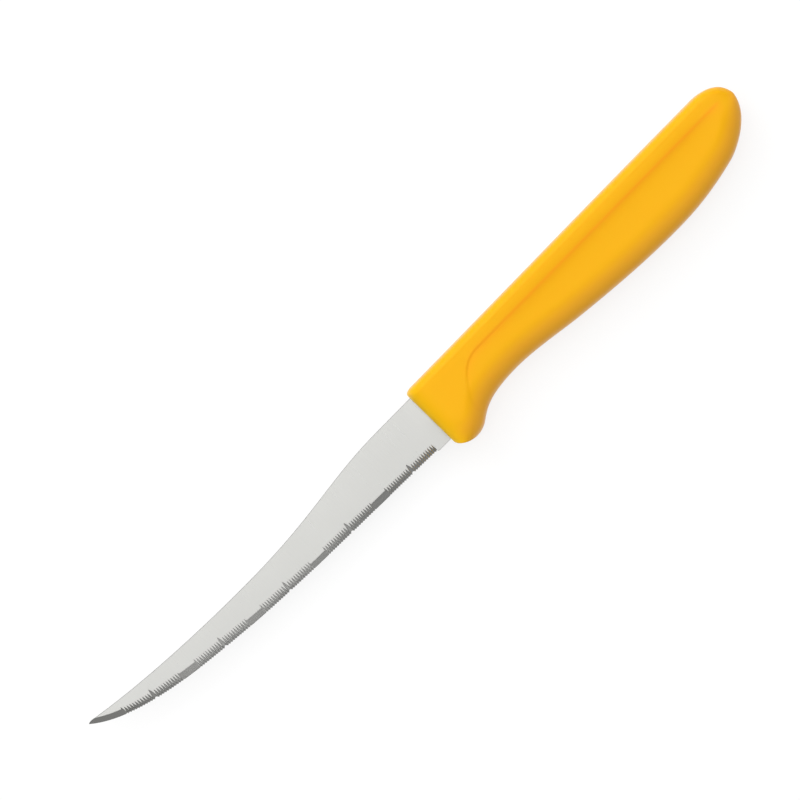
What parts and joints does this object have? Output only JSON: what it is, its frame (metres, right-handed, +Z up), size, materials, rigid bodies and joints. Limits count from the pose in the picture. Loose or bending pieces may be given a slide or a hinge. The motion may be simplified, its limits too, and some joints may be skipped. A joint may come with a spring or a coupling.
{
  "type": "vegetable knife",
  "caption": "Slim knife with a dipped spine, a one-sided serrated edge and a smooth moulded grip with a finger guard and a rounded butt.",
  "frame": {"origin": "middle of the knife's box, on the surface that it lies on", "axes": "+X along the knife from the tip to the butt, +Y from the edge to the spine, +Z up through its thickness, towards the bevelled side of the blade"},
  "size_m": [0.225, 0.0208, 0.013],
  "materials": {
    "blade": "satin-ground flats with a brighter serrated bevel",
    "handle": "smooth semi-gloss moulded yellow plastic"
  },
  "bodies": {
    "root": {"blade": "blade", "handle": "handle"}
  },
  "joints": []
}
